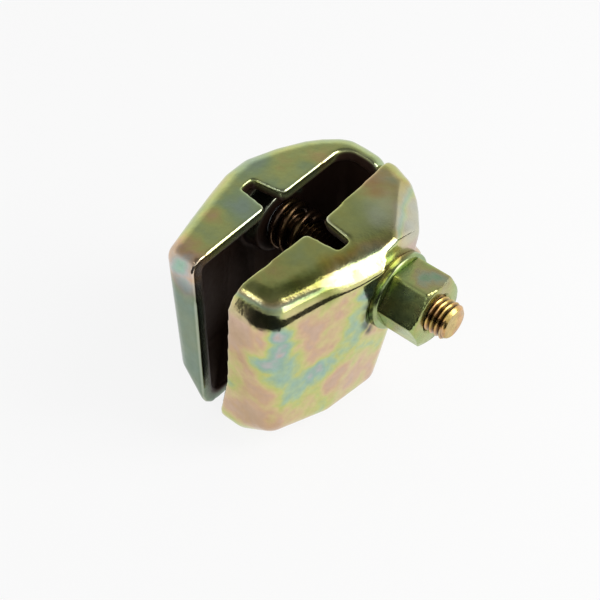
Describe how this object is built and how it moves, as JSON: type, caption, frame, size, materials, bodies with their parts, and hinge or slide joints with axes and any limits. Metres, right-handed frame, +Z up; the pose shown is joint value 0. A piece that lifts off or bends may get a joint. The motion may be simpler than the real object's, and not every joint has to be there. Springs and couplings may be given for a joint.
{
  "type": "scaffold coupler clamp",
  "caption": "Clamp of two deep pressed steel jaws with slotted tops, drawn together by one bolt with a washer and nut; the rear jaw's heel bears on the front jaw.",
  "frame": {"origin": "on the bolt's axis, in the middle of the gap between the jaws", "axes": "+X along the bolt towards the nut, -Y towards the near end where the gap is open, +Z up through the slotted tops"},
  "size_m": [0.0878, 0.0756, 0.067],
  "materials": {
    "plated_rear": "yellow passivated zinc plate, iridescent",
    "plated_front": "yellow passivated zinc plate, iridescent",
    "plated_bolt": "yellow passivated zinc plate",
    "plated_washer": "yellow passivated zinc plate",
    "plated_nut": "yellow passivated zinc plate, iridescent",
    "plated_spring": "yellow passivated zinc plate"
  },
  "bodies": {
    "rear": {"rear_jaw": "plated_rear", "bolt": "plated_bolt", "spring": "plated_spring"},
    "front": {"front_jaw": "plated_front"},
    "washer": {"washer": "plated_washer"},
    "nut": {"nut": "plated_nut"}
  },
  "joints": [
    {"name": "jaw_slide", "type": "slide", "parent": "rear", "child": "front", "axis": [1, 0, 0], "range_m": [0, 0.006]},
    {"name": "washer_spin", "type": "hinge", "parent": "front", "child": "washer", "pos_m": [0.029, 0, 0], "axis": [1, 0, 0], "continuous": true},
    {"name": "nut_turn", "type": "hinge", "parent": "front", "child": "nut", "pos_m": [0.0315, 0, 0], "axis": [1, 0, 0], "range_deg": [0, 1240]}
  ],
  "couplings": [
    {"joint": "nut_turn", "follows": "jaw_slide", "rad_per_m": 3590.4}
  ]
}
